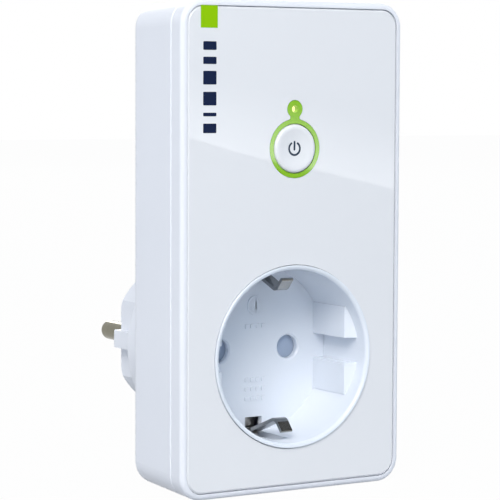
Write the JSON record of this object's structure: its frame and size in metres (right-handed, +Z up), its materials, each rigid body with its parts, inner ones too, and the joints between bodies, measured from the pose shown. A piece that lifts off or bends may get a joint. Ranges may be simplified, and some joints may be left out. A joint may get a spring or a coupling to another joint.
{
  "type": "plug in dimmer",
  "caption": "Plug-in wall adapter with an earthed round socket, a dimming button in a green ring and a rear plug with two round pins.",
  "frame": {"origin": "centre of the plug's end face, between the two pins", "axes": "+Y rearwards along the pins, +Z up, +X to the right as seen from the front"},
  "size_m": [0.059, 0.0726, 0.1114],
  "materials": {
    "housing": "fine satin white moulding",
    "panel": "high gloss white plate",
    "insert": "white moulding",
    "ring": "clear-coated green",
    "button": "smooth white",
    "nickel": "nickel plated",
    "spring_steel": "bright spring steel",
    "zinc_steel": "zinc plated",
    "aluminium": "mill finish",
    "tin_copper": "tinned",
    "enamelled_copper": "enamelled wire",
    "iron_powder": "lacquered core",
    "board": "resin-bonded board",
    "black_resin": "moulded resin",
    "blue_lacquer": "dipped lacquer",
    "yellow_case": "moulded case",
    "beige_lacquer": "dipped lacquer",
    "clear_glass": "clear",
    "green_lens": "tinted lens",
    "insulator": "moulded insulator",
    "brown_wire": "insulated lead",
    "black_wire": "insulated lead",
    "blue_wire": "insulated lead"
  },
  "bodies": {
    "housing": {"front_shell": "housing", "rear_shell": "housing", "front_panel": "panel", "accent_ring": "ring", "socket_insert": "insert", "button_spring": "spring_steel", "led": "green_lens", "circuit_board": "board", "tact_switch": "black_resin", "heat_sink": "aluminium", "triac": "black_resin", "triac_screw": "zinc_steel", "choke_core": "iron_powder", "choke_winding": "enamelled_copper", "film_capacitor": "yellow_case", "electrolytic_capacitor": "aluminium", "fuse_link": "clear_glass", "fuse_clips": "tin_copper", "varistor": "blue_lacquer", "controller_chip": "black_resin", "resistors": "beige_lacquer", "plug_pin_left": "nickel", "plug_pin_right": "nickel", "pin_retainer": "insulator", "retainer_screw": "zinc_steel", "contact_carrier": "insulator", "carrier_screws": "zinc_steel", "contact_sleeve_left": "tin_copper", "contact_sleeve_right": "tin_copper", "neutral_link": "tin_copper", "shutter_spring": "spring_steel", "earth_bridge": "tin_copper", "earth_strap_upper": "nickel", "earth_strap_lower": "nickel", "case_screws": "zinc_steel", "board_screws": "zinc_steel", "live_wire": "brown_wire", "load_wire": "black_wire", "neutral_wire": "blue_wire"},
    "button": {"button_cap": "button"},
    "switch_plunger": {"tact_plunger": "black_resin"},
    "shutter": {"shutter": "insulator"},
    "earth_clip_upper": {"earth_clip_upper": "spring_steel"},
    "earth_clip_lower": {"earth_clip_lower": "spring_steel"}
  },
  "joints": [
    {"name": "button_press", "type": "slide", "parent": "housing", "child": "button", "axis": [0, 1, 0], "range_m": [0, 0.0005], "stiffness_N_per_m": 1200, "springref_m": -0.0008, "deforming": ["button_spring"]},
    {"name": "plunger_press", "type": "slide", "parent": "housing", "child": "switch_plunger", "axis": [0, 1, 0], "range_m": [0, 0.0003]},
    {"name": "shutter_turn", "type": "hinge", "parent": "housing", "child": "shutter", "pos_m": [0, -0.0333, 0], "axis": [0, -1, 0], "range_deg": [0, 36], "stiffness_Nm_per_rad": 0.008, "springref_deg": -11.46, "deforming": ["shutter_spring"]},
    {"name": "earth_clip_upper_flex", "type": "hinge", "parent": "housing", "child": "earth_clip_upper", "pos_m": [0, -0.0319, 0.0193], "axis": [-1, 0, 0], "range_deg": [0, 5.5], "stiffness_Nm_per_rad": 1},
    {"name": "earth_clip_lower_flex", "type": "hinge", "parent": "housing", "child": "earth_clip_lower", "pos_m": [0, -0.0319, -0.0193], "axis": [1, 0, 0], "range_deg": [0, 5.5], "stiffness_Nm_per_rad": 1}
  ],
  "couplings": [
    {"joint": "plunger_press", "follows": "button_press", "ratio": 0.6}
  ]
}
